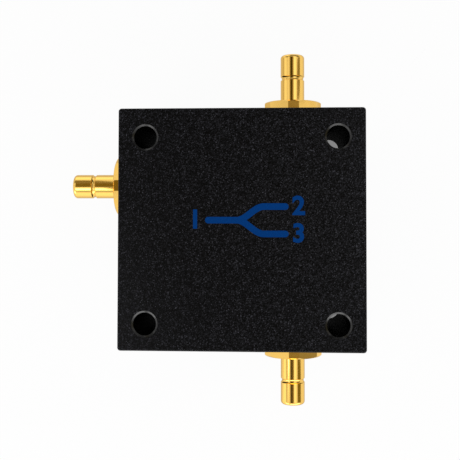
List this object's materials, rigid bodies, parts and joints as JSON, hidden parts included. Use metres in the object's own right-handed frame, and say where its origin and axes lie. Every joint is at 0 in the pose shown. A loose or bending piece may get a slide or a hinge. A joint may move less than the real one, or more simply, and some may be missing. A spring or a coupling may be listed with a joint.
{
  "type": "rf hybrid combiner",
  "caption": "Square black metal box with gold coaxial jacks on its sides and screw bores at its corners, which combines or splits radio-frequency signals.",
  "frame": {"origin": "centre of the mounting face, the outside of the back cover", "axes": "+Z out of the plain front face, +Y out of the first output port, -X out of the common port"},
  "size_m": [0.0447, 0.0542, 0.022],
  "materials": {
    "black_powder_coat": "fine textured powder coat on aluminium",
    "gold_plate": "bright gold plating on turned brass",
    "gold_plated_pin": "polished gold plating",
    "zinc_steel": "bright zinc plating",
    "white_insulator": "turned fluoropolymer",
    "green_laminate": "solder mask on glass-epoxy laminate",
    "grey_ferrite": "fired and tumbled",
    "red_enamel_wire": "glossy wire enamel",
    "green_enamel_wire": "glossy wire enamel",
    "copper_enamel_wire": "clear wire enamel on copper",
    "resistor_lacquer": "dipped lacquer",
    "capacitor_lacquer": "dipped lacquer"
  },
  "bodies": {
    "root": {"housing": "black_powder_coat", "base_cover": "black_powder_coat", "cover_screw_1": "zinc_steel", "cover_screw_2": "zinc_steel", "cover_screw_3": "zinc_steel", "cover_screw_4": "zinc_steel", "circuit_board": "green_laminate", "board_screw_1": "zinc_steel", "board_screw_2": "zinc_steel", "matching_core": "grey_ferrite", "matching_winding": "copper_enamel_wire", "hybrid_core": "grey_ferrite", "hybrid_winding_a": "red_enamel_wire", "hybrid_winding_b": "green_enamel_wire", "isolation_resistor": "resistor_lacquer", "tuning_capacitor": "capacitor_lacquer", "common_port_shell": "gold_plate", "common_port_insulator": "white_insulator", "common_port_contact": "gold_plated_pin", "common_port_washer": "zinc_steel", "common_port_nut": "gold_plate", "output_port_1_shell": "gold_plate", "output_port_1_insulator": "white_insulator", "output_port_1_contact": "gold_plated_pin", "output_port_1_washer": "zinc_steel", "output_port_1_nut": "gold_plate", "output_port_2_shell": "gold_plate", "output_port_2_insulator": "white_insulator", "output_port_2_contact": "gold_plated_pin", "output_port_2_washer": "zinc_steel", "output_port_2_nut": "gold_plate"}
  },
  "joints": []
}
